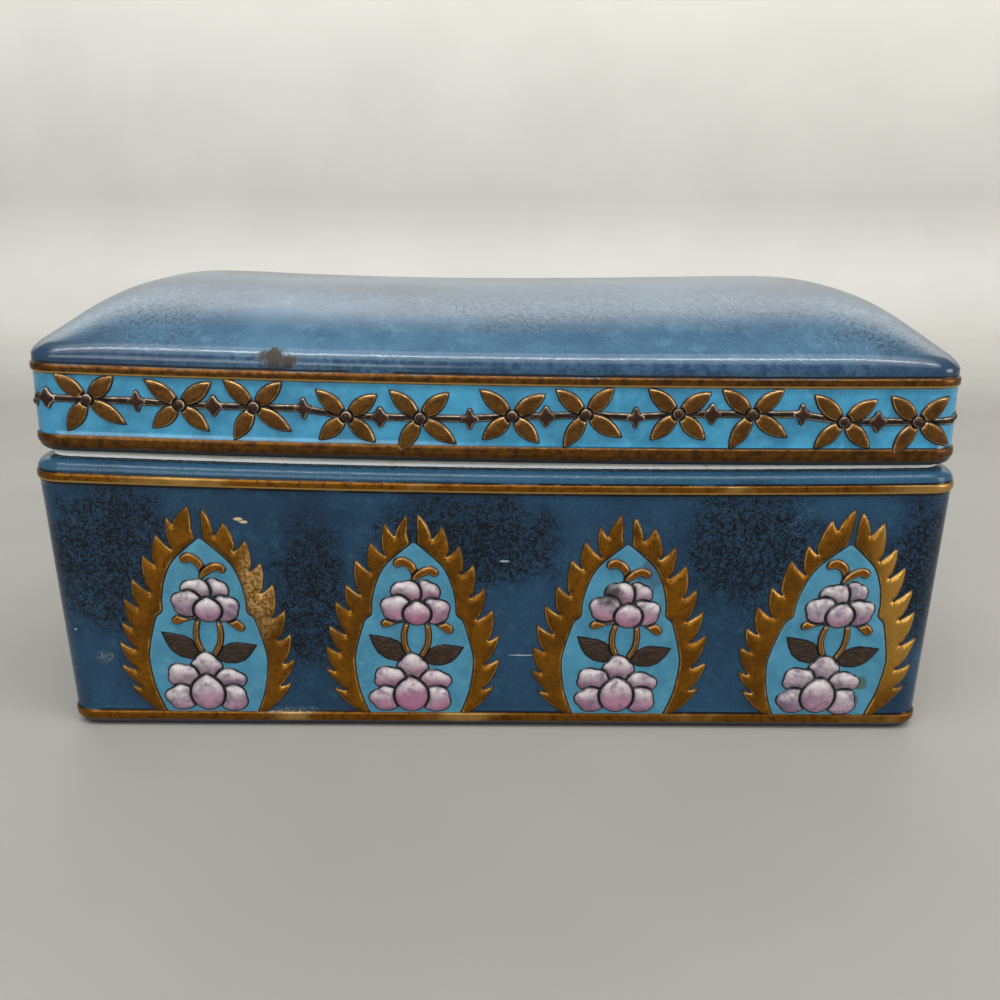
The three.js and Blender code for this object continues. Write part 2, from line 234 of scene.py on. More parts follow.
class Finish:
    """A material with its shader, the place in millimetres on it, and noise read there."""

    def __init__(self, name, **constants):
        self.material = bpy.data.materials.new(name)
        self.material.use_nodes = True
        self.shader = self.material.node_tree.nodes["Principled BSDF"]
        for socket, value in constants.items():
            self.shader.inputs[socket.replace("_", " ")].default_value = value
        self.root = Wire(self.material.node_tree)
        place = self.root.node("TexCoord", output="Object")
        self.place = self.root.node("VectorMath", {"operation": "SCALE"}, {0: place, "Scale": 1 / MM})
        self.sides = [self.root.node("SeparateXYZ", (), {0: self.place}, axis) for axis in range(3)]

    def noise(self, scale, detail=3.0, rough=0.55, stretch=(1, 1, 1), shift=(0, 0, 0), swirl=0.0):
        moved = self.root.node("VectorMath", {"operation": "MULTIPLY_ADD"},
                               {0: self.place, 1: stretch, 2: shift})
        return self.root.node("TexNoise", (), {"Vector": moved, "Scale": scale, "Detail": detail,
                                               "Roughness": rough, "Distortion": swirl})

    def mark(self, name):
        return self.root.node("Attribute", {"attribute_name": name}, output="Fac")

    def spot(self, x, z, half_width, half_height, y=None, half_y=1.0):
        """How far a place is from a spot's middle, 1 at its edge."""
        centre = (x, 0 if y is None else y, z)
        scale = (1 / half_width, 0 if y is None else 1 / half_y, 1 / half_height)
        off = self.root.node("VectorMath", {"operation": "SUBTRACT"}, {0: self.place, 1: centre})
        off = self.root.node("VectorMath", {"operation": "MULTIPLY"}, {0: off, 1: scale})
        return self.root.node("VectorMath", {"operation": "LENGTH"}, {0: off}, "Value")

    def blotch(self, spots, raggedness, reach, blur):
        """1 within reach of any of some spots, its edge broken up by the raggedness."""
        gap = self.spot(*spots[0])
        for spot in spots[1:]:
            gap = gap.least(self.spot(*spot))
        return 1 - (gap + raggedness).above(reach, blur)

    def ink(self, edge, scale, waver, width, blur):
        """The painted line round a cell, a little uneven in width."""
        return 1 - (edge + self.noise(scale, 2) * waver).above(width, blur)

    def bump(self, height, depth):
        """A normal from a height that runs 0 to 1 over the depth in millimetres."""
        return self.root.node("Bump", (), {"Height": height, "Distance": depth * MM, "Strength": 1.0})

    def paint(self, **links):
        for socket, value in links.items():
            self.root.tree.links.new(value.socket, self.shader.inputs[socket.replace("_", " ")])
        return self.material


SLATE, SLATE_PALE, SLATE_DEEP = srgb(36, 72, 99), srgb(52, 94, 120), srgb(21, 47, 70)
SOOT, LINE_BLACK = srgb(5, 9, 16), srgb(9, 9, 12)
GILT, GILT_DARK, GILT_PALE = srgb(124, 78, 18), srgb(72, 42, 9), srgb(206, 166, 96)
BISQUE, BISQUE_GREY, PIT = srgb(250, 251, 248), srgb(224, 224, 217), srgb(96, 84, 70)
FOOT_SHADE, GILT_FLECK = srgb(34, 26, 26), srgb(206, 184, 140)
CHALK, SCRATCHED = srgb(168, 166, 150), srgb(168, 184, 196)
GLAZE_ROUGH, GILT_ROUGH, BARE_ROUGH, GILT_METAL = 0.13, 0.3, 0.75, 0.85
# Marks on the wall: middle across, height, half-width, half-height.
SPONGED = ((-86, 44, 17, 19), (-42, 34, 9, 19), (-6, 47, 23, 12), (57, 46, 16, 15), (97, 41, 9, 19))
FLECKS = ((-57.3, 52.5, 1.1, 0.4), (-56.1, 51.8, 1.0, 0.4))
CHALKY = ((-90.8, 18.3, 3.2, 2.2), (-48, 4.0, 10, 1.7))
SCRATCHES = ((2.2, 42.7, 1.6, 0.35), (6, 19.2, 4.0, 0.22), (-97, 25.2, 0.5, 0.4))

coat = Finish("slate_glaze_and_gilt", Coat_Weight=0.0, IOR=1.34)
level, bare = coat.mark("level"), coat.mark("bare")
across, depth, height = coat.sides
grain, drift = coat.noise(1.9, 5, 0.68), coat.noise(0.045, 3)


def lace(finish, scale, shift):
    """Thin curling strokes, where a swirled noise crosses its middle."""
    off = (finish.noise(scale, 3, 0.6, shift=shift, swirl=1.3) - 0.5).size()
    return 1 - off.above(0.038, 0.012)


def brushed(level, waver, low, high):
    """A band painted between two edges, each a level with its share of the waver and its blur."""
    entered, left = ((level + waver * share).above(edge, blur) for edge, share, blur in (low, high))
    return entered * (1 - left)


def bare_clay(finish):
    """Unglazed porcelain, white with faint grey clouds."""
    grey = (finish.noise(0.8, 4) * 0.6 + finish.noise(0.1, 2) * 0.4).above(0.6, 0.12)
    return grey.mix(BISQUE, BISQUE_GREY)


def sheen(glaze, band, marks, ragged):
    """Roughness of a casting: its glaze, its gilt bands and marks, and its bare clay."""
    return (glaze + band * (GILT_ROUGH - glaze) + marks) * (1 - ragged) + ragged * BARE_ROUGH


strokes = lace(coat, 0.42, (0, 0, 0)).most(lace(coat, 0.6, (31, 7, 13)))
strokes = strokes * coat.noise(0.8, 4, 0.7, shift=(3, 9, 4)).above(0.43, 0.1)
slate = (drift * 0.7 + grain * 0.5).above(0.62, 0.2).mix(SLATE_DEEP, SLATE)
slate = (coat.noise(0.35, 4, 0.7, shift=(7, 3, 1)).above(0.64, 0.14) * 0.5).mix(slate, SLATE_PALE)
# Where the sponge was pressed: five clouds on the front, and a looser scatter round the box.
cloud = coat.blotch(SPONGED, coat.noise(0.16, 5, 0.65) * 1.3, 1.5, 0.42)
elsewhere = coat.noise(0.03, 3, 0.5, shift=(2, 9, 5)).above(0.56, 0.09)
off_front = depth.above(-50.0, 2.0)
cloud = cloud * (1 - off_front) + elsewhere * off_front
# The rounded shoulder above the upper band is painted paler: a painted reflection of the bright room where
# it turns up. The shoulder also carries more specks.
shoulder = level.above(BODY_BAND_TOP + 0.4, 0.25)
slate = (shoulder * 0.6).mix(slate, SLATE_PALE)
peppered = coat.noise(1.6, 5, 0.8, shift=(6, 6, 2)).above(0.56, 0.07)
specks = (strokes * (0.05 + cloud * 1.6)).most(peppered * (cloud * 0.28 + shoulder * 0.5))
lip_specks = coat.noise(0.7, 4, 0.7).above(0.46, 0.1)
specks = specks.most(level.above(SHOULDER_TOP - 0.25, 0.3) * lip_specks)
slate = (cloud * 0.5).mix(slate, SLATE_DEEP)
slate = (specks * 0.92).mix(slate, SOOT)
foot = 1 - level.above(FOOT_TOP - 0.5, 0.25)
slate = foot.mix(slate, FOOT_SHADE)
# Gilt bands, brushed by hand inside black lines.
waver = coat.noise(0.09, 3, shift=(4, 4, 4), stretch=(1, 1, 0.2)) * 0.7 - 0.35
upper = brushed(level, waver, (BODY_BAND_BOTTOM - 0.05, 1, 0.07), (BODY_BAND_TOP, 0.6, 0.07))
lower = brushed(level, waver, (FOOT_TOP - 0.1, 0.5, 0.08), (FOOT_BAND_TOP + 0.1, 1, 0.08))
band = upper.most(lower)
line = level.between(BODY_BAND_BOTTOM - 0.45, BODY_BAND_BOTTOM + 0.15, 0.08, 0.1)
line = line.most(level.between(BODY_BAND_TOP - 0.1, BODY_BAND_TOP + 0.4, 0.1, 0.12))
line = line.most(level.between(FOOT_BAND_TOP - 0.1, FOOT_BAND_TOP + 0.5, 0.1, 0.12))
line = line * coat.noise(0.12, 2, shift=(1, 5, 2)).above(0.36, 0.06)
tarnish = coat.noise(0.55, 5, 0.75).above(0.56, 0.12)
gold = tarnish.mix(GILT, GILT_DARK)
# Paler gold: rubbed patches of gilt, and a painted highlight where the upper band nears the right corner.
rub_and_glint = coat.noise(0.06, 2, shift=(9, 1, 3)).above(0.6, 0.08)
rub_and_glint = rub_and_glint.most(across.above(88.0, 6.0) * height.above(50.0, 2.0))
edge_light = 1 - (level - (BODY_BAND_BOTTOM + 0.35)).size().above(0.22, 0.14)
gold = (edge_light * 0.75).most(rub_and_glint * 0.5).mix(gold, GILT_PALE)
colour = band.mix(slate, gold)
colour = (line * 0.92).mix(colour, LINE_BLACK)
# Wear: a stray fleck of gilt, chalky rubs beside the first flame and on the foot band, fine scratches.
fleck = coat.blotch(FLECKS, coat.noise(0.9, 3), 1.4, 0.2)
colour = (fleck * 0.9).mix(colour, GILT_FLECK)
chalk = coat.blotch(CHALKY, coat.noise(0.5, 5, 0.8) * 1.4, 1.3, 0.4)
chalk = chalk * coat.noise(1.7, 5, 0.8).above(0.55, 0.1) * (1 - off_front)
colour = (chalk * 0.5).mix(colour, CHALK)
scratch = coat.blotch(SCRATCHES, coat.noise(1.2, 2) * 0.8, 1.1, 0.2) * (1 - off_front)
colour = (scratch * 0.7).mix(colour, SCRATCHED)
# Bare clay, and how glossy and how raised each finish is.
ragged = (bare + coat.noise(1.3, 5, 0.75) * 0.8 - 0.4).above(0.26, 0.05)
pits = coat.noise(3.0, 2, 0.5, shift=(3, 3, 3)).above(0.74, 0.03)
colour = ragged.mix(colour, (pits * 0.6).mix(bare_clay(coat), PIT))
gloss = sheen(GLAZE_ROUGH, band, specks * 0.06, ragged)
relief = coat.noise(0.09, 2) * 0.5 + grain * 0.04 + tarnish * band * 0.08 + specks * 0.02
slate_and_gilt = coat.paint(
    Base_Color=colour, Roughness=gloss, Metallic=band * GILT_METAL * (1 - ragged),
    Normal=coat.bump(relief, 0.28))
body_piece = body.make("box_body_glazed", slate_and_gilt, BODY_SLOT)
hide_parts("box_body")

# ----------------------------------------------------------------------
# Lid. A slip-cast porcelain cover with a pillow-shaped top that the kiln let sag in the middle,
# a turquoise frieze between two gilt bands, and a locating lip under it. It rests on the rim.
LID_LENGTH, LID_DEPTH, LID_TAPER = 203.6, 110.4, 0.3
LID_BOTTOM, LID_BAND_BOTTOM, FRIEZE_BOTTOM = 65.4, 66.9, 69.2
FRIEZE_TOP, LID_BAND_TOP = 82.5, 84.6
LID_EDGE_RADIUS, CROWN_RISE = 3.1, 12.4
LIP_DROP, LIP_OUTER, LIP_THICKNESS = 3.5, 6.2, 2.6
LID_BOW, LID_TILT = 1.2, 1.3
CROWN_SAG, CROWN_LEAN = 1.7, 1.4
END_FALL, SIDE_FALL = 57, 60


def lid_warp(x):
    """How far firing bowed the lid up at its ends and tilted it up to the left."""
    t = x / (LID_LENGTH / 2)
    return LID_BOW * t * t - LID_TILT * t


def lid_inset(z):
    return LID_TAPER * np.maximum(0, (np.asarray(z) - LID_BOTTOM) / (LID_BAND_TOP - LID_BOTTOM))


def crown(x, y):
    """The pillow's height: steep near its edges, sagging in the middle, fuller to the right."""
    def rise(gap, reach, power):
        return 1 - (1 - np.clip(gap / reach, 0, 1)) ** power
    t = x / (LID_LENGTH / 2)
    fill = rise(LID_LENGTH / 2 - np.abs(x), END_FALL, 6) * rise(LID_DEPTH / 2 - np.abs(y), SIDE_FALL, 3.5)
    return fill * (CROWN_RISE + CROWN_SAG * t * t + CROWN_LEAN * t * (1 - t * t))


lid = Casting()


def lid_ring(inset, z, level, bare, thickness=None):
    """One ring of the lid; with a thickness, it lies on the crown or that far under it."""
    half_depth = LID_DEPTH / 2 - inset
    flat = ring(LID_LENGTH / 2 - inset, half_depth,
                min(corner_radius(inset) + 0.25 * max(inset, 0), 0.9 * half_depth))
    if thickness is not None:
        d = min(inset, LID_EDGE_RADIUS)
        z = LID_BAND_TOP + math.sqrt(LID_EDGE_RADIUS ** 2 - (LID_EDGE_RADIUS - d) ** 2) - thickness
        z = z + crown(flat[:, 0], flat[:, 1])
    lid.add(flat, z + lid_warp(flat[:, 0]), level, bare)


# Inside, from the middle of the ceiling down to the lip and the bare seat.
INSIDE_LEVEL, MIDDLE_INSET = 60, 49.2
for inset in (MIDDLE_INSET, 40, 30, 22, 16, 11):
    lid_ring(inset, 0, INSIDE_LEVEL, 1, thickness=WALL)
for inset, z in ((WALL + 2.6, LID_BAND_TOP - 3), (WALL + 1.6, LID_BAND_TOP - 7),
                 (WALL + 1.6, LID_BOTTOM + 7), (LIP_OUTER + LIP_THICKNESS, LID_BOTTOM + 3.5),
                 (LIP_OUTER + LIP_THICKNESS, LID_BOTTOM - LIP_DROP),
                 (LIP_OUTER, LID_BOTTOM - LIP_DROP), (LIP_OUTER, LID_BOTTOM), (1.6, LID_BOTTOM)):
    lid_ring(inset, z, INSIDE_LEVEL, 1)
# Outside, up the wall and over the rounded edge to the middle of the top.
lid_wall = [(LID_BOTTOM + rise, inset) for rise, inset in ((0, 1.1), (0.15, 0.6), (0.5, 0.25), (1.2, 0))]
lid_wall += rounded_band(LID_BAND_BOTTOM, FRIEZE_BOTTOM, lid_inset)
lid_wall += [(z, float(lid_inset(z))) for z in np.linspace(FRIEZE_BOTTOM, FRIEZE_TOP, 9)[1:-1]]
lid_wall += rounded_band(FRIEZE_TOP, LID_BAND_TOP, lid_inset)
lid_wall += [(LID_BAND_TOP + rise, LID_TAPER) for rise in (0.12, 0.24, 0.36, 0.5, 0.8, 1.1)]
for z, inset in lid_wall:
    lid_ring(inset, z, z, 0)
for turn in np.linspace(0.46, math.pi / 2, 11):
    path = LID_EDGE_RADIUS * turn
    lid_ring(LID_EDGE_RADIUS * (1 - math.cos(turn)), 0, LID_BAND_TOP + path, 0, thickness=0)
for inset in (3.6, 4.3, 5.2, 6.3, 7.6, 9, 11, 13, 15.5, 18, *range(21, 46, 3), 47.5, MIDDLE_INSET):
    path = LID_EDGE_RADIUS * (math.pi / 2 - 1) + inset
    lid_ring(inset, 0, LID_BAND_TOP + path, 0, thickness=0)

LID_BLUE, LID_PALE, LID_DEEP = srgb(84, 122, 147), srgb(112, 150, 172), srgb(56, 90, 117)
SPONGE_DARK, SPONGE_GREY = srgb(34, 60, 84), srgb(74, 92, 110)
END_SHADE, EDGE_SHADE, STAIN = srgb(24, 36, 52), srgb(28, 56, 84), srgb(46, 34, 6)
TURQUOISE, TURQUOISE_PALE, TURQUOISE_DEEP = srgb(62, 146, 184), srgb(90, 170, 204), srgb(48, 122, 156)
FRIEZE_FLECK, SILL_SHADE = srgb(30, 70, 92), srgb(22, 27, 36)
LID_GILT, LID_GILT_DARK = srgb(108, 68, 20), srgb(58, 38, 18)
LID_GLAZE_ROUGH, STAIN_ROUGH = 0.12, 0.5
# Clouds over the top: middle across and in depth, half-width, half-depth.
LID_CLOUDS = ((-78, -30, 22, 22), (-30, -22, 26, 12), (8, -34, 34, 12), (62, -30, 26, 16), (86, -8, 16, 30),
              (-60, 18, 30, 18), (20, 20, 40, 16), (88, -44, 18, 9))
ANY_HEIGHT = 1e4
# The stain on the front edge: middle across, rise above the band, half-width, half-height.
STAIN_BLOTS = ((-47.4, 2.4, 3.2, 1.9), (-44.4, 1.8, 2.0, 1.2))

coat = Finish("lid_glaze_and_gilt", Coat_Weight=0.0, IOR=1.5)
level, bare = coat.mark("level"), coat.mark("bare")
across = coat.sides[0]
grain, drift = coat.noise(2.0, 5, 0.7), coat.noise(0.04, 3, shift=(5, 2, 8))
blue = (drift * 0.8 + grain * 0.4).above(0.6, 0.2).mix(LID_DEEP, LID_BLUE)
blue = (coat.noise(0.22, 4, 0.65, shift=(1, 7, 3)).above(0.62, 0.14) * 0.35).mix(blue, LID_PALE)
# Sponged clouds over the top, thickest near the corners and across the front.
cloud = coat.blotch([(x, 0, wide, ANY_HEIGHT, y, deep) for x, y, wide, deep in LID_CLOUDS],
                          coat.noise(0.12, 5, 0.62) * 1.5, 1.7, 0.5)
specks = coat.noise(1.1, 5, 0.8, shift=(6, 6, 2)).above(0.52, 0.06) * (0.15 + cloud * 0.9)
strokes = lace(coat, 0.7, (8, 1, 5)) * coat.noise(0.5, 4, 0.7).above(0.5, 0.1)
specks = specks.most(strokes * cloud * 0.7)
blue = (cloud * 0.35).mix(blue, SPONGE_GREY)
blue = (specks * 0.92).mix(blue, SPONGE_DARK)
# Painted shade: darker towards the ends of the front edge, and darker in mottled patches all along the turn
# above the band.
rise = level - LID_BAND_TOP
near_ends = (across.size() - 70).above(16.0, 16.0)
blue = ((1 - rise.above(7.0, 5.0)) * near_ends * 0.75).mix(blue, END_SHADE)
mottle = coat.noise(0.5, 4, 0.7, shift=(2, 4, 9)).above(0.5, 0.1)
blue = ((1 - rise.above(3.0, 0.7)) * (0.55 + mottle * 0.4)).mix(blue, EDGE_SHADE)
blots = []
for x, z, half_width, half_height in STAIN_BLOTS:
    aside, above_band = (across - x) * (1 / half_width), (rise - z) * (1 / half_height)
    blots.append(coat.root.maths("SQRT", aside * aside + above_band * above_band))
stain = 1 - (blots[0].least(blots[1]) + coat.noise(0.6, 5, 0.8) * 2.6).above(2.15, 0.3)
blue = (stain * 0.96).mix(blue, STAIN)
# The frieze's enamel, the sill under it, and the gilt bands with their black lines.
frieze_mask = level.between(FRIEZE_BOTTOM, FRIEZE_TOP, 0.06, 0.06)
enamel = coat.noise(0.11, 4, 0.6, shift=(3, 1, 6)).above(0.5, 0.14).mix(TURQUOISE_DEEP, TURQUOISE)
enamel = (coat.noise(0.3, 4, 0.7, shift=(6, 1, 1)).above(0.62, 0.14) * 0.5).mix(enamel, TURQUOISE_PALE)
enamel = (coat.noise(1.1, 4, 0.6).above(0.72, 0.05) * 0.6).mix(enamel, FRIEZE_FLECK)
blue = frieze_mask.mix(blue, enamel)
sill = 1 - level.above(LID_BAND_BOTTOM - 0.5, 0.2)
blue = sill.mix(blue, SILL_SHADE)
waver = coat.noise(0.08, 3, shift=(2, 6, 4), stretch=(1, 1, 0.2)) * 0.7 - 0.35
upper = brushed(level, waver, (FRIEZE_TOP, 0.4, 0.06), (LID_BAND_TOP, 1, 0.08))
lower = brushed(level, waver, (LID_BAND_BOTTOM - 0.4, 1, 0.08), (FRIEZE_BOTTOM, 0.4, 0.06))
band = upper.most(lower)
ledge = brushed(level, waver, (LID_BAND_TOP + 0.05, 0.3, 0.08), (LID_BAND_TOP + 0.6, 0.8, 0.12))
ledge = ledge * (across + 27 + waver * 6).size().above(4.6, 0.6)
seam = level.between(FRIEZE_BOTTOM - 0.05, FRIEZE_BOTTOM + 0.3, 0.06, 0.08)
seam = seam * (0.35 + across.above(20.0, 30.0) * 0.65)
under = level.between(LID_BAND_BOTTOM - 0.75, LID_BAND_BOTTOM - 0.35, 0.1, 0.1)
line = ledge.most(seam).most(under)
tarnish = coat.noise(0.5, 5, 0.75, shift=(5, 5, 5)).above(0.52, 0.14)
gold = tarnish.mix(LID_GILT, LID_GILT_DARK)
edge_light = 1 - (level - (FRIEZE_TOP + 0.32)).size().above(0.2, 0.14)
gold = (edge_light * 0.8).mix(gold, GILT_PALE)
colour = band.mix(blue, gold)
colour = (line * 0.92).mix(colour, LINE_BLACK)
ragged = (bare + coat.noise(1.6, 4, 0.7) * 0.5 - 0.25).above(0.5, 0.06)
colour = ragged.mix(colour, bare_clay(coat))
gloss = sheen(LID_GLAZE_ROUGH, band, specks * 0.08 + stain * STAIN_ROUGH, ragged)
relief = coat.noise(0.05, 2) * 0.35 + grain * 0.02 + tarnish * band * 0.08
relief = relief + specks * 0.02 + stain * 0.1
lid_material = coat.paint(
    Base_Color=colour, Roughness=gloss, Metallic=band * GILT_METAL * (1 - ragged),
    Normal=coat.bump(relief, 0.26))
lid_piece = lid.make("lid_glazed", lid_material, LID_SLOT)
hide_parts("lid")

# ----------------------------------------------------------------------
# Turquoise fields. A gourd-shaped cell of turquoise enamel inside each flame medallion, floated
# level on the wall. Each side of the body carries its row: four front and back, two at each end.
MEDALLION_BASE, MEDALLION_PITCH, MEDALLION_HEIGHT = FOOT_BAND_TOP, 48.0, 48.0
FRONT_CENTRES = ((-66.9, 0.6), (-18.9, 0.7), (29.1, 0.9), (76.6, 3.7))     # (middle, lean of the top)
# The left edge of a field, from its top down to the foot band.
FIELD_EDGE = ((0, 43.4), (-3.3, 40.6), (-6.7, 37.2), (-8.7, 33.0), (-9.7, 28.5), (-9.9, 25.3),
              (-11.3, 24.0), (-12.4, 20.8), (-13.6, 16.0), (-13.9, 12.6), (-13.0, 6.0), (-10.9, -0.3))
FIELD_RAISE, FIELD_BEVEL = 0.22, 0.8
# Which way each wall runs across, seen from outside, and which way it faces.
WALLS = {"front": ((1, 0), (0, -1)), "back": ((-1, 0), (0, 1)),
         "left": ((0, -1), (-1, 0)), "right": ((0, 1), (1, 0))}


def lay(side, length, depth, inset_at, warp):
    """A function that lays (across, up, out) on one wall of the body or the lid."""
    (ax, ay), (nx, ny) = WALLS[side]
    half, half_run = (depth / 2, length / 2) if nx == 0 else (length / 2, depth / 2)

    def place(points):
        u, v, h = points.T
        h = h - inset_at(v)
        straight = half_run - CORNER_RADIUS
        turn = np.maximum(np.abs(u) - straight, 0) / CORNER_RADIUS
        along = np.sign(u) * (np.minimum(np.abs(u), straight) + (CORNER_RADIUS + h) * np.sin(turn))
        out = half - CORNER_RADIUS + (CORNER_RADIUS + h) * np.cos(turn)
        x, y = ax * along + nx * out, ay * along + ny * out
        return np.c_[x, y, v + warp(x, v)]
    return place


def on_body(side):
    return lay(side, BODY_LENGTH, BODY_DEPTH, body_inset, body_warp)


def curve(points, step=0.35, closed=False):
    """A smooth line through points, with a point about every step."""
    p = np.asarray(points, float)
    ends = (p[-1], p[:2]) if closed else (2 * p[0] - p[1], 2 * p[-1] - p[-2])
    p = np.vstack([ends[0], p, ends[1]])
    line = []
    for a, b, c, d in zip(p, p[1:], p[2:], p[3:]):
        count = max(2, int(np.linalg.norm(c - b) / step))
        t = np.linspace(0, 1, count, endpoint=False)[:, None]
        line.append(0.5 * (2 * b + (c - a) * t + (2 * a - 5 * b + 4 * c - d) * t ** 2
                           + (3 * b - a - 3 * c + d) * t ** 3))
    return np.vstack(line if closed else line + [p[-2:-1]])


def inside(points, outline):
    a, b = outline, np.roll(outline, -1, axis=0)
    x, y = points[:, :1], points[:, 1:2]
    crosses = (a[:, 1] > y) != (b[:, 1] > y)
    with np.errstate(divide="ignore", invalid="ignore"):
        at = (b[:, 0] - a[:, 0]) * (y - a[:, 1]) / (b[:, 1] - a[:, 1]) + a[:, 0]
    return (crosses & (x < at)).sum(axis=1) % 2 == 1


def gap_to(points, outlines):
    """Distance from each point to the nearest outline."""
    nearest = np.full(len(points), 1e9)
    for outline in outlines:
        a = outline
        run = np.roll(outline, -1, axis=0) - a
        size = np.maximum((run ** 2).sum(axis=1), 1e-12)
        for start in range(0, len(points), 4000):
            off = points[start:start + 4000, None] - a
            t = np.clip((off * run).sum(axis=2) / size, 0, 1)
            gap = np.sqrt(((off - t[..., None] * run) ** 2).sum(axis=2)).min(axis=1)
            nearest[start:start + 4000] = np.minimum(nearest[start:start + 4000], gap)
    return nearest


def tile(outline, spacing, cutters=()):
    """A flat cell meshed finely inside its outline and clear of the cells that lie over it."""
    outline = np.asarray(outline)
    lo, hi = outline.min(axis=0), outline.max(axis=0)
    cutters = [c for c in map(np.asarray, cutters)
               if (c.min(axis=0) < hi).all() and (c.max(axis=0) > lo).all()]
    edges = [outline, *cutters]
    rows = np.arange(lo[1], hi[1], spacing * 0.87)
    grid = np.array([(x + (i % 2) * spacing / 2, y) for i, y in enumerate(rows)
                     for x in np.arange(lo[0], hi[0] + spacing, spacing)])
    grid = grid[inside(grid, outline)]
    if len(grid):
        grid = grid[gap_to(grid, edges) > spacing * 0.55]
    points, links = [Vector(p) for p in grid], []
    for loop in edges:
        first = len(points)
        points += [Vector(p) for p in loop]
        links += [(first + i, first + (i + 1) % len(loop)) for i in range(len(loop))]
    verts, _, faces, *_ = delaunay_2d_cdt(points, links, [], 0, 1e-5, False)
    verts, faces = np.array([tuple(v) for v in verts]), np.array(faces)
    middles = verts[faces].mean(axis=1)
    keep = inside(middles, outline)
    for cutter in cutters:
        keep &= ~inside(middles, cutter)
    faces = faces[keep]
    used, faces = np.unique(faces, return_inverse=True)
    verts = verts[used]
    own_gap = gap_to(verts, edges[:1])
    return verts, faces.reshape(-1, 3), np.minimum(own_gap, gap_to(verts, cutters)), own_gap


class Cells:
    """Cells of one enamel or gilt, gathered from every wall into one piece."""

    def __init__(self):
        self.points, self.faces, self.marks, self.count = [], [], {}, 0

    def add(self, outline, place, raise_by, bevel, spacing, cutters=(), base=-0.06, **marks):
        """One cell, rounded up from its edge at the base height over the bevel's width."""
        verts, faces, gap, own_gap = tile(outline, spacing, cutters)
        rise = np.sin(np.clip(gap / bevel, 0, 1) * math.pi / 2)
        self.points.append(place(np.c_[verts, base + (raise_by - base) * rise]))
        self.faces += (faces + self.count).tolist()
        self.count += len(verts)
        marks["edge"] = gap
        marks["rim"] = own_gap
        for mark, value in marks.items():
            value = value(verts) if callable(value) else value
            self.marks.setdefault(mark, []).append(np.broadcast_to(value, len(verts)))

    def make(self, name, finish, slot):
        marks = {mark: np.concatenate(values) for mark, values in self.marks.items()}
        return piece(name, np.vstack(self.points), self.faces, marks, finish, slot)


def row(count):
    return [((i - (count - 1) / 2) * MEDALLION_PITCH, 0.0) for i in range(count)]


def medallions():
    """For every medallion: is it at the front, its number, its wall and how its shapes lean."""
    rows = {"front": FRONT_CENTRES, "back": row(4), "left": row(2), "right": row(2)}
    for side, centres in rows.items():
        for number, (centre, lean) in enumerate(centres):
            def leaned(points, centre=centre, lean=lean):
                p = np.asarray(points, float)
                bend = lean * np.clip(p[:, 1] / MEDALLION_HEIGHT, 0, 1.2) ** 1.4
                return np.c_[p[:, 0] + centre + bend, p[:, 1] + MEDALLION_BASE]
            yield side == "front", number, on_body(side), leaned


left_edge = curve(FIELD_EDGE, 0.5)
field_outline = np.vstack([left_edge, (left_edge * (-1, 1))[::-1][:-1]])
fields = Cells()
for front, _, wall, leaned in medallions():
    fields.add(leaned(field_outline), wall, FIELD_RAISE, FIELD_BEVEL, 0.9 if front else 2.0)

coat = Finish("turquoise_enamel", IOR=1.52, Coat_Weight=0.0)
edge = coat.mark("edge")
enamel = coat.noise(0.09, 4, 0.6).above(0.5, 0.14).mix(srgb(56, 122, 150), srgb(68, 138, 168))
pale = coat.noise(0.3, 4, 0.7, shift=(6, 1, 1)).above(0.6, 0.14)
enamel = (pale * 0.5).mix(enamel, srgb(92, 156, 172))
milky = 1 - (edge + coat.noise(0.4, 3) * 0.8).above(0.95, 0.35)
enamel = (milky * 0.3).mix(enamel, srgb(120, 172, 184))
flecks = coat.noise(1.3, 4, 0.65).above(0.7, 0.04)
enamel = (flecks * 0.5).mix(enamel, srgb(34, 78, 96))
# A smoky shadow on the third field, and green-brown strokes on the fourth.
smudge = coat.blotch([(36, 41, 3.8, 5.0)], coat.noise(0.5, 4, 0.7) * 1.2, 1.5, 0.25)
enamel = (smudge * 0.6).mix(enamel, srgb(40, 50, 70))
streaks = coat.noise(0.8, 3, 0.6, stretch=(0.2, 1, 3.0)) * 2.2
greened = coat.blotch([(85.8, 12.4, 1.9, 2.4), (84.6, 7.6, 1.3, 2.6)], streaks, 1.85, 0.15)
enamel = (greened * 0.75).mix(enamel, srgb(62, 72, 26))
enamel = (1 - edge.above(0.3, 0.08)).mix(enamel, LINE_BLACK)
fields.make("turquoise_fields", coat.paint(
    Base_Color=enamel, Roughness=0.12 + flecks * 0.1 + greened * 0.2,
    Normal=coat.bump(coat.noise(0.25, 3) * 0.6 + coat.noise(1.5, 3) * 0.1, 0.12)), BODY_SLOT)

# ----------------------------------------------------------------------
# Flames. Two gilt halves stand in relief round each field, licks pointing up and out, inside a
# black line. They were modelled in the clay, bevelled, and gilded by brush over a brown ground.
FLAME_RAISE, FLAME_BEVEL = 0.82, 1.7
LEFT_LICKS = ((-1.6, 50.3), (-6.6, 48.3), (-9.8, 43.8), (-12.9, 39.7), (-15.9, 33.5), (-18.2, 28.8),
              (-20.0, 23.4), (-20.6, 18.1), (-21.1, 12.6), (-19.4, 7.2))
# The right half's licks, mirrored to the left.
RIGHT_LICKS = ((-1.2, 50.0), (-5.9, 47.2), (-10.5, 42.9), (-13.6, 38.3), (-16.2, 32.8), (-18.4, 27.0),
               (-19.9, 21.1), (-20.3, 14.6), (-19.6, 8.2))
FLAME_FOOT = (-13.0, -0.1)


def bent(start, end, bulge):
    """An edge between two points, bulging to the left of its run."""
    start, end = np.asarray(start), np.asarray(end)
    run = end - start
    t = np.linspace(0, 1, max(3, int(np.linalg.norm(run) / 0.35)), endpoint=False)[:, None]
    return start + run * t + np.array([-run[1], run[0]]) * bulge * 4 * t * (1 - t)


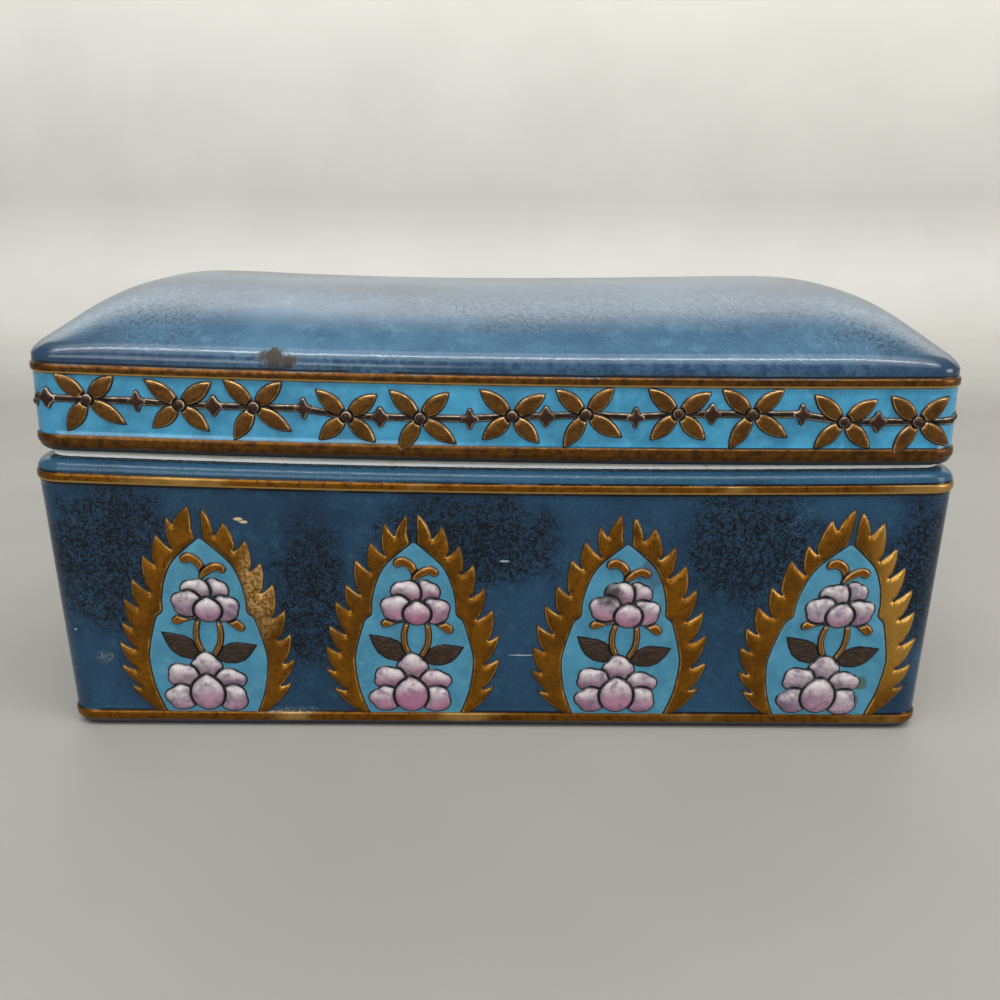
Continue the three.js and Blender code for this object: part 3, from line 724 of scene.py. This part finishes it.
def flame_outline(tips, unevenness, seed, top_gap, crest_x, top_rise):
    """The left half of a flame: licks outside with a slit at each notch, the field's edge inside."""
    chance = np.random.default_rng(seed)
    tips = np.asarray(tips) + chance.uniform(-0.4, 0.4, (len(tips), 2)) * unevenness
    tips[:2] += (top_gap, top_rise)
    drop = 0.6 + 0.046 * tips[1:, 1:]
    swing = 1 + chance.uniform(-0.25, 0.25, (len(tips) - 1, 1)) * unevenness
    fall = np.hstack([2.5 + 0 * drop, -drop]) * swing
    notches, slits = tips[1:] + fall, tips[1:] + fall * 1.22 + (0.1, -0.3)
    notches[0, 0] -= 0.9
    slits[0] = notches[0] + (0.1, -0.2)
    edge = [bent(tips[0], notches[0], -0.07)]
    for i, tip in enumerate(tips[1:]):
        end = notches[i + 1] if i + 2 < len(tips) else FLAME_FOOT
        edge += [bent(notches[i] + (0, -0.08), slits[i], 0), bent(slits[i], tip, 0.05),
                 bent(tip, end, -0.07)]
    inner = curve(FIELD_EDGE, 0.4)[::-1]
    inner = inner[inner[:, 0] < -0.9] + (0.3, 0)
    crest_foot = (crest_x + top_gap, 45.2)
    crest = [bent(inner[-1], crest_foot, 0), bent(crest_foot, tips[0], -0.05)]
    return np.vstack([*edge, bent(FLAME_FOOT, inner[0], 0), inner, *crest])


# How far each front medallion's first licks stand apart, and how far they rise.
FRONT_GAPS, FRONT_RISES = (0.0, 0.0, 0.1, 0.9), (0.5, 0.0, 0.1, 1.4)
flames = Cells()
for front, number, wall, leaned in medallions():
    gap, lift = (FRONT_GAPS[number], FRONT_RISES[number]) if front else (0, 0)
    left = flame_outline(LEFT_LICKS if front else RIGHT_LICKS, front, 30 + number, gap, -1.3, lift)
    right = flame_outline(RIGHT_LICKS, front, 40 + number, gap / 3, -0.7, lift)[::-1] * (-1, 1)
    for half in (left, right):
        flames.add(leaned(half), wall, FLAME_RAISE, FLAME_BEVEL, 0.36 if front else 0.9)

coat = Finish("flame_gilt", IOR=1.5)
edge = coat.mark("edge")
across, _, height = coat.sides
gold = coat.noise(0.13, 4, 0.6).above(0.5, 0.12).mix(srgb(112, 70, 4), srgb(136, 86, 8))
tarnish = coat.noise(0.9, 5, 0.72, shift=(2, 2, 2)).above(0.57, 0.1)
gold = (tarnish * 0.6).mix(gold, srgb(66, 38, 6))
# A pale line just inside the black one: a painted highlight along the bevel, broken in places.
rim = edge.between(0.36, 0.58, 0.06, 0.12)
gold = (rim * (0.08 + coat.noise(0.3, 3).above(0.52, 0.1) * 0.7)).mix(gold, srgb(206, 160, 84))
# Gold scuffed off the first flame's right half; and at the right of the fourth, a painted highlight from the
# light on the right, the gold there a little glossier.
worn = coat.blotch([(-54, 36, 4.6, 13)], coat.noise(0.35, 4, 0.7) * 1.2, 1.4, 0.45)
worn = worn * coat.noise(1.3, 5, 0.8).above(0.5, 0.07)
gold = (worn * 0.8).mix(gold, srgb(202, 168, 112))
painted_glint = across.above(86.0, 5.0) * height.above(14.0, 8.0)
gold = (painted_glint * 0.55).mix(gold, srgb(206, 158, 74))
outline = coat.ink(edge, 0.7, 0.2, 0.4, 0.07)
gold = outline.mix(gold, LINE_BLACK)
flames.make("flame_halves", coat.paint(
    Base_Color=gold, Metallic=(1 - outline) * 0.8,
    Roughness=0.36 + tarnish * 0.14 + worn * 0.25 - painted_glint * 0.1,
    Normal=coat.bump(coat.noise(0.5, 4, 0.6) * 0.7 + coat.noise(2.5, 3) * 0.15, 0.3)), BODY_SLOT)

# ----------------------------------------------------------------------
# Flowers. Two peonies in each medallion, the upper with five petals and the lower with six. Each
# petal is a puffed cell of pink and lilac enamel, shaded grey, inside a thick black line.
# Petals are (across, up, half-width, half-height, lobes, turn), the nearest first.
UPPER_PETALS = ((0.9, 25.6, 3.3, 3.0, 1, 90), (-3.9, 27.1, 3.6, 3.3, 3, 150), (4.6, 26.4, 3.6, 3.3, 3, 35),
                (-1.5, 30.3, 3.5, 3.4, 2, 100), (2.9, 30.5, 3.2, 3.3, 2, 65))
LOWER_PETALS = ((-0.6, 4.7, 4.1, 4.4, 1, 90), (-6.4, 4.0, 3.8, 3.3, 3, 170), (5.0, 3.6, 3.7, 3.4, 2, 10),
                (-5.9, 8.8, 3.8, 3.3, 3, 125), (4.7, 8.2, 3.7, 2.9, 2, 55), (-0.4, 11.2, 3.9, 3.9, 3, 90))


def petal_outline(x, y, half_width, half_height, lobes, turn):
    """A round petal whose outer edge is gathered into lobes."""
    a = np.linspace(0, 2 * math.pi, 56, endpoint=False)
    off = (a - math.radians(turn) + math.pi) % (2 * math.pi) - math.pi
    outer = np.clip(np.cos(off * 0.9), 0, 1) ** 1.2
    if lobes == 1:
        swell = 1 + 0.14 * np.exp(-(off / 0.34) ** 2)
    else:
        shift = 0 if lobes % 2 else math.pi / 2
        swell = 1 + outer * (0.2 * np.abs(np.cos(off * (lobes + 1) / 2 + shift)) - 0.03)
    return np.c_[x + half_width * swell * np.cos(a), y + half_height * swell * np.sin(a)]


ON_FIELD = 0.25
PETAL_RAISE, PETAL_STEP, PETAL_BEVEL = 1.15, 0.04, 1.9
PETAL_BLUSH = (0.2, 0.6, 0.4, 0.1)
petals, flower_outlines = Cells(), []
for front, number, wall, leaned in medallions():
    chance = np.random.default_rng(70 + number)
    flowers = []
    for sizes in (UPPER_PETALS, LOWER_PETALS):
        nearer = []
        for order, (x, y, half_width, half_height, lobes, turn) in enumerate(sizes):
            nudge = chance.uniform(-0.3, 0.3, 2) if front else (0, 0)
            cell = leaned(petal_outline(x + nudge[0], y + nudge[1], half_width, half_height, lobes, turn))
            petals.add(cell, wall, PETAL_RAISE - PETAL_STEP * order, PETAL_BEVEL, 0.42 if front else 0.9,
                       nearer, ON_FIELD,
                       rise=lambda v, low=cell[:, 1].min(), tall=np.ptp(cell[:, 1]): (v[:, 1] - low) / tall,
                       tint=chance.uniform(0, 1), blush=PETAL_BLUSH[number] + 0.25 * (lobes == 1))
            nearer.append(cell)
        flowers += nearer
    flower_outlines.append(flowers)

coat = Finish("petal_enamel", IOR=1.52)
edge, rise, tint, blush = (coat.mark(mark) for mark in ("edge", "rise", "tint", "blush"))
drift = coat.noise(0.28, 3, 0.6)
petal = (drift * 0.8 + tint * 0.25).above(0.52, 0.14).mix(srgb(164, 152, 160), srgb(136, 110, 134))
pink = (1 - (rise + drift * 0.7 - blush * 0.35).above(0.72, 0.34)) * (0.35 + blush * 0.65)
petal = (pink * 0.85).mix(petal, srgb(172, 98, 134))
ash = (coat.noise(0.4, 4, 0.7, shift=(1, 3, 7)) - blush * 0.08 + tint * 0.06).above(0.54, 0.1)
petal = (ash * (0.75 - blush * 0.4)).mix(petal, srgb(84, 82, 92))
milk = rise.above(0.62, 0.24) * coat.noise(0.4, 3, shift=(3, 8, 2)).above(0.46, 0.12)
petal = (milk * 0.75).mix(petal, srgb(222, 214, 208))
fine = coat.noise(2.2, 4, 0.7)
petal = (fine.above(0.6, 0.1) * 0.16).mix(petal, srgb(90, 86, 100))
# Each petal is darker towards its edge: painted shade where the puffed petal dips to its black line.
dusk = 1 - (edge + coat.noise(0.6, 3) * 0.7).above(0.95, 0.4)
petal = (dusk * 0.45).mix(petal, srgb(92, 82, 100))
smoke = coat.blotch([(25.6, 35.0, 3.6, 3.4)], coat.noise(0.6, 4) * 0.9, 1.3, 0.35)
petal = (smoke * 0.85).mix(petal, LINE_BLACK)
outline = coat.ink(edge, 0.8, 0.16, 0.44, 0.08)
petal = outline.mix(petal, LINE_BLACK)
petals.make("peony_petals", coat.paint(
    Base_Color=petal, Roughness=0.2 + fine * 0.08,
    Normal=coat.bump(coat.noise(0.7, 3) * 0.5 + fine * 0.1, 0.16)), BODY_SLOT)

# ----------------------------------------------------------------------
# Stems, calyx and sprout. Thin gilt strokes with bevelled edges: a curled sprout over each upper
# peony, two sepals beside its base and two bowed stems down to the lower peony. Brown leaves
# spread from the stems; they are matt enamel with scratched veins.


def stroke(line, widths):
    """The outline of a brush stroke whose half-width changes along its line, its ends rounded."""
    line = curve(line, 0.3)
    step = np.r_[0, np.linalg.norm(np.diff(line, axis=0), axis=1)].cumsum()
    run = np.gradient(line, axis=0)
    run /= np.linalg.norm(run, axis=1)[:, None]
    half = np.interp(np.linspace(0, 1, len(line)), np.linspace(0, 1, len(widths)), widths)
    for gap, end in ((step, widths[0]), (step[-1] - step, widths[-1])):
        half *= np.sqrt(1 - (1 - np.clip((gap + 0.05) / max(end, 0.1), 0, 1)) ** 2)
    side = np.c_[-run[:, 1], run[:, 0]] * half[:, None]
    return np.vstack([line + side, (line - side)[::-1]])


SPROUT = (stroke([(-0.3, 33.4), (0.2, 35.6), (-0.8, 37.6), (-2.8, 38.5), (-4.4, 37.3)],
                 [0.5, 0.9, 1.1, 1.25, 1.15]),
          stroke([(-0.5, 33.4), (1.0, 35.2), (2.9, 36.3), (4.3, 36.2), (5.3, 35.0)],
                 [0.5, 0.95, 1.15, 1.15, 1.05]))
SEPALS = (stroke([(-1.4, 23.8), (-3.4, 24.1), (-5.4, 23.7), (-7.6, 22.6)], [0.5, 0.9, 1.15, 1.2, 0.9]),
          stroke([(4.0, 23.6), (5.6, 23.4), (7.2, 22.5), (8.9, 20.9)], [0.5, 0.95, 1.2, 1.25, 0.9]))
STEMS = (stroke([(-1.5, 23.6), (-2.3, 20.4), (-2.0, 17.4), (-0.6, 14.6)], [0.7, 0.8, 0.8, 0.7]),
         stroke([(3.0, 23.4), (3.4, 20.4), (3.0, 17.4), (1.4, 14.4)], [0.7, 0.8, 0.8, 0.7]))
LEAVES = (stroke([(-1.0, 14.6), (-4.0, 15.9), (-7.0, 17.6), (-10.4, 20.3)], [0.9, 2.2, 2.75, 2.5, 1.5, 0.1]),
          stroke([(1.8, 14.2), (5.0, 14.9), (8.2, 15.8), (11.6, 17.3)], [0.9, 2.2, 2.7, 2.5, 1.5, 0.1]))

TENDRIL_RAISE, LEAF_RAISE, STROKE_BEVEL = 0.85, 0.55, 0.8
tendrils, leaves = Cells(), Cells()
for (front, _, wall, leaned), flowers in zip(medallions(), flower_outlines):
    over = list(flowers)
    for shape in (*SPROUT[::-1], *SEPALS, *STEMS):
        cell = leaned(shape)
        tendrils.add(cell, wall, TENDRIL_RAISE, STROKE_BEVEL, 0.3 if front else 0.7, over, ON_FIELD)
        over.append(cell)
    for shape in LEAVES:
        leaves.add(leaned(shape), wall, LEAF_RAISE, STROKE_BEVEL, 0.45 if front else 0.9, over, ON_FIELD)

coat = Finish("tendril_gilt", IOR=1.5)
edge = coat.mark("edge")
gold = coat.noise(0.8, 4, 0.7).above(0.52, 0.14).mix(srgb(142, 90, 22), srgb(104, 56, 12))
# A pale line just inside the black one: a painted highlight along the bevelled edge.
rim = edge.between(0.36, 0.56, 0.05, 0.1)
gold = (rim * 0.6).mix(gold, srgb(206, 156, 84))
outline = coat.ink(edge, 0.8, 0.14, 0.4, 0.06)
gold = outline.mix(gold, LINE_BLACK)
tendrils.make("stems_sepals_sprouts", coat.paint(
    Base_Color=gold, Metallic=(1 - outline) * 0.75, Roughness=0.3 + coat.noise(1.2, 3) * 0.1,
    Normal=coat.bump(coat.noise(0.9, 4), 0.16)), BODY_SLOT)

coat = Finish("leaf_umber", IOR=1.4)
edge = coat.mark("edge")
umber = coat.noise(0.5, 4, 0.7).above(0.5, 0.16).mix(srgb(50, 33, 18), srgb(38, 25, 15))
scratch = coat.noise(1.2, 3, 0.6, stretch=(0.5, 1, 2.2)).above(0.58, 0.05)
umber = (scratch * 0.3).mix(umber, srgb(86, 70, 60))
umber = (1 - edge.above(0.36, 0.08)).mix(umber, LINE_BLACK)
leaves.make("leaves", coat.paint(
    Base_Color=umber, Roughness=0.34 + scratch * 0.12,
    Normal=coat.bump(scratch * 0.5 + coat.noise(0.8, 3) * 0.5, 0.14)), BODY_SLOT)

# ----------------------------------------------------------------------
# Frieze. Four-petalled gilt flowers strung in pairs on a pewter-dark chain with pointed links,
# all in low relief on the turquoise band of the lid. The chain dips and climbs from pair to pair.
PAIR_PITCH, PAIR_STEP = 35.85, 15.95
LINK_INSIDE, LINK_BETWEEN = 7.3, 26.7
FRONT_START, FRONT_LIFTS = -103.95, (1.4, 0.9, -0.6, 0.2, 1.1, -0.5)
END_START = -26.1
PETAL_ANGLES = ((141, 35, 222, 316), (139, 42, 237, 327))
PETAL_LENGTHS = ((9.0, 8.8, 8.6, 8.7), (8.8, 8.5, 8.9, 9.8))


def on_lid(side):
    return lay(side, LID_LENGTH, LID_DEPTH, lid_inset, lambda x, v: lid_warp(x))


def blade(x, y, degrees, length, half_width, start=0.6):
    """A gilt petal from near the hub out, blunt at its tip."""
    t = np.linspace(0, 1, 15)
    half = half_width * np.sin(np.pi * (0.08 + 0.92 * t) ** 0.95) ** 0.8
    along = start + (length - start) * t
    shape = np.vstack([np.c_[along, half], np.c_[along, -half][-2:0:-1]])
    a = math.radians(degrees)
    turn = np.array([[math.cos(a), math.sin(a)], [-math.sin(a), math.cos(a)]])
    return shape @ turn + (x, y)


def link_outline(x, y, full):
    """A link of the chain: four points with hollow sides, fuller inside a pair of flowers."""
    a = np.linspace(0, 2 * math.pi, 40, endpoint=False)
    radius = (1.7 if full else 1.45) + (0.65 if full else 0.95) * np.cos(2 * a) ** 2
    return np.c_[x + radius * 0.92 * np.cos(a), y + radius * 1.05 * np.sin(a)]


def circle(x, y, radius):
    a = np.linspace(0, 2 * math.pi, 28, endpoint=False)
    return np.c_[x + radius * np.cos(a), y + radius * np.sin(a)]


def near(cells, x, reach):
    """The cells whose middle is within reach of x."""
    return [cell for cell in cells if abs(cell[:, 0].mean() - x) < reach]


ON_FRIEZE = 0.03
HUB_RADIUS, BLADE_HALF_WIDTH = 1.35, 1.95
HUB_RAISE, BLADE_RAISE, LINK_RAISE, WIRE_RAISE = 1.0, 0.75, 0.9, 0.45
blades, chain = Cells(), Cells()
for side in WALLS:
    front, wall = side == "front", on_lid(side)
    long_side = side in ("front", "back")
    start, lifts = (FRONT_START, FRONT_LIFTS) if long_side else (END_START, (0, 0))
    lifts = [lift if front else 0 for lift in lifts]
    run = (LID_LENGTH if long_side else LID_DEPTH) / 2 - CORNER_RADIUS * 0.25
    middle = (FRIEZE_BOTTOM + FRIEZE_TOP) / 2
    blade_mesh, chain_mesh = (0.306, 0.3) if front else (0.595, 0.6)
    chance = np.random.default_rng(7)
    hubs = [(start + i * PAIR_PITCH + k * PAIR_STEP, middle + lift + (0.6 if k and i == 3 else 0), k)
            for i, lift in enumerate(lifts) for k in (0, 1)]
    links = [(start + i * PAIR_PITCH + at, middle + lift, full) for i, lift in enumerate(lifts)
             for at, full in ((LINK_INSIDE, True), (LINK_BETWEEN, False))]
    over = [circle(x, y, HUB_RADIUS) for x, y, _ in hubs if abs(x) <= run - 2]
    for hub in over:
        chain.add(hub, wall, HUB_RAISE, 1.0, chain_mesh, base=ON_FRIEZE, boss=1.0)
    for x, y, kind in hubs:
        for degrees, length in zip(PETAL_ANGLES[kind], PETAL_LENGTHS[kind]):
            if front:
                degrees, length = degrees + chance.uniform(-3, 3), length + chance.uniform(-0.3, 0.3)
            reach = x + length * math.cos(math.radians(degrees))
            if max(abs(x), abs(reach)) > run:
                continue
            cell = blade(x, y, degrees, length, BLADE_HALF_WIDTH)
            blades.add(cell, wall, BLADE_RAISE, 1.0, blade_mesh, near(over, x, 3), ON_FRIEZE)
            over.append(cell)
    for x, y, full in links:
        if abs(x) <= run - 2:
            chain.add(link_outline(x, y, full), wall, LINK_RAISE, 0.8, chain_mesh, near(over, x, 9),
                      ON_FRIEZE, boss=1.0)
    stops = sorted((x, y) for x, y, _ in hubs + links if abs(x) < run)
    stops = [(-run, stops[0][1]), *stops, (run, stops[-1][1])]
    for (x0, y0), (x1, y1) in zip(stops, stops[1:]):
        cell = stroke([(x0 - 0.8, y0), ((x0 + x1) / 2, (y0 + y1) / 2), (x1 + 0.8, y1)], [0.95, 0.85, 0.95])
        chain.add(cell, wall, WIRE_RAISE, 0.5, chain_mesh,
                  [c for c in over[len(hubs):] if c[:, 0].min() < x1 and c[:, 0].max() > x0],
                  ON_FRIEZE, boss=0.0)

coat = Finish("frieze_gilt", IOR=1.5)
edge = coat.mark("edge")
gold = coat.noise(0.35, 4, 0.65).above(0.52, 0.14).mix(srgb(110, 72, 24), srgb(84, 52, 16))
tarnish = coat.noise(1.6, 4, 0.7, shift=(2, 5, 1)).above(0.57, 0.08)
gold = (tarnish * 0.6).mix(gold, srgb(62, 40, 16))
# A pale line just inside the black one: a painted highlight along the bevel, broken in places.
rim = edge.between(0.34, 0.52, 0.05, 0.1)
gold = (rim * (0.15 + coat.noise(0.45, 3).above(0.5, 0.12) * 0.65)).mix(gold, srgb(214, 178, 116))
outline = coat.ink(edge, 0.8, 0.14, 0.36, 0.06)
gold = outline.mix(gold, srgb(22, 18, 18))
blades.make("frieze_petals", coat.paint(
    Base_Color=gold, Metallic=(1 - outline) * 0.75, Roughness=0.34 + tarnish * 0.12,
    Normal=coat.bump(coat.noise(1.0, 4, 0.6) * 0.8, 0.2)), LID_SLOT)

coat = Finish("chain_pewter", IOR=1.5)
edge, boss = coat.mark("rim"), coat.mark("boss")
pewter = coat.noise(0.7, 4, 0.7).above(0.5, 0.14).mix(srgb(46, 32, 24), srgb(26, 18, 16))
pewter = (boss * 0.5).mix(pewter, srgb(70, 38, 20))
# A pale line just inside the black one: a painted highlight along the raised edge of each link and hub.
rim = edge.between(0.24, 0.42, 0.05, 0.07)
pewter = (rim * (0.3 + coat.noise(0.4, 3).above(0.5, 0.1) * 0.6)).mix(pewter, srgb(190, 170, 140))
outline = coat.ink(edge, 0.8, 0.1, 0.27, 0.05)
pewter = outline.mix(pewter, srgb(20, 17, 20))
chain.make("frieze_chain", coat.paint(
    Base_Color=pewter, Metallic=(1 - outline) * 0.6, Roughness=0.28 + coat.noise(1.2, 3) * 0.16,
    Normal=coat.bump(coat.noise(1.3, 4), 0.16)), LID_SLOT)

# ----------------------------------------------------------------------
# Stage. A pale tabletop that turns up into a pale wall behind the box, with soft lamps and the
# camera. It is painted board, and none of it belongs to the part.
BENCH_FRONT, BENCH_BACK, BENCH_TURN, BENCH_HALF_WIDTH = -1.4, 0.62, 0.12, 3.0
bench = bpy.data.meshes.new("bench")
profile = [(BENCH_FRONT, 0.0), (BENCH_BACK, 0.0)]
profile += [(BENCH_BACK + BENCH_TURN * math.sin(a), BENCH_TURN * (1 - math.cos(a)))
            for a in np.linspace(0.1, math.pi / 2, 10)]
profile += [(BENCH_BACK + BENCH_TURN, z) for z in (0.4, 0.9, 1.4, 2.0)]
bench.from_pydata([(x, y, z) for y, z in profile for x in (-BENCH_HALF_WIDTH, BENCH_HALF_WIDTH)], [],
                  [(2 * i, 2 * i + 1, 2 * i + 3, 2 * i + 2) for i in range(len(profile) - 1)])
bench.shade_smooth()
coat = Finish("pale_bench", IOR=1.45)
bench.materials.append(coat.paint(
    Base_Color=coat.noise(0.01, 3).above(0.5, 0.2).mix(srgb(156, 154, 148), srgb(160, 158, 152)),
    Roughness=0.55 + coat.noise(0.05, 2) * 0.1))
bench_piece = bpy.data.objects.new("bench", bench)
bpy.context.scene.collection.objects.link(bench_piece)


def soft_light(name, place, aim, width, height, watts, colour=(1, 1, 1)):
    light = bpy.data.lights.new(name, "AREA")
    light.shape, light.size, light.size_y = "RECTANGLE", width, height
    light.energy, light.color = watts, colour
    holder = bpy.data.objects.new(name, light)
    holder.location = place
    holder.rotation_euler = (Vector(aim) - Vector(place)).to_track_quat("-Z", "Y").to_euler()
    bpy.context.scene.collection.objects.link(holder)


soft_light("overhead", (0.0, -0.45, 1.2), (0, -0.05, 0.05), 1.6, 0.8, 7.0)
soft_light("wall_wash", (0.0, 0.36, 0.80), (0, 0.74, 0.78), 2.8, 0.3, 37.0)
soft_light("front_fill", (-0.5, -1.3, 0.7), (0, 0, 0.05), 0.9, 0.7, 6.0)
soft_light("front_strip", (0.0, -0.38, 0.9), (0, -0.05, 0.09), 1.3, 0.012, 3.2)
soft_light("right_window", (1.1, -0.5, 0.45), (0, 0, 0.05), 0.5, 0.7, 5.5, (1.0, 0.98, 0.94))

sky = bpy.data.worlds.new("room")
sky.use_nodes = True
sky.node_tree.nodes["Background"].inputs["Color"].default_value = (0.86, 0.89, 0.92, 1)
sky.node_tree.nodes["Background"].inputs["Strength"].default_value = 0.42
bpy.context.scene.world = sky
bpy.context.scene.view_settings.view_transform = "Standard"

CAMERA_PITCH, CAMERA_YAW, CAMERA_ROLL = 16.8, -0.14, 0.23
lens = bpy.data.cameras.new("camera")
lens.sensor_width, lens.lens, lens.clip_start = 36.0, 36.11, 0.01
camera = bpy.data.objects.new("camera", lens)
camera.rotation_mode = "QUATERNION"
pitch, yaw, roll = (math.radians(a) for a in (CAMERA_PITCH, CAMERA_YAW, CAMERA_ROLL))
forward = Vector((math.sin(yaw) * math.cos(pitch), math.cos(yaw) * math.cos(pitch), -math.sin(pitch)))
camera.rotation_quaternion = forward.to_track_quat("-Z", "Y") @ Quaternion((0, 0, 1), roll)
camera.location = (0.00157, -0.2678, 0.12125)
bpy.context.scene.collection.objects.link(camera)
bpy.context.scene.camera = camera
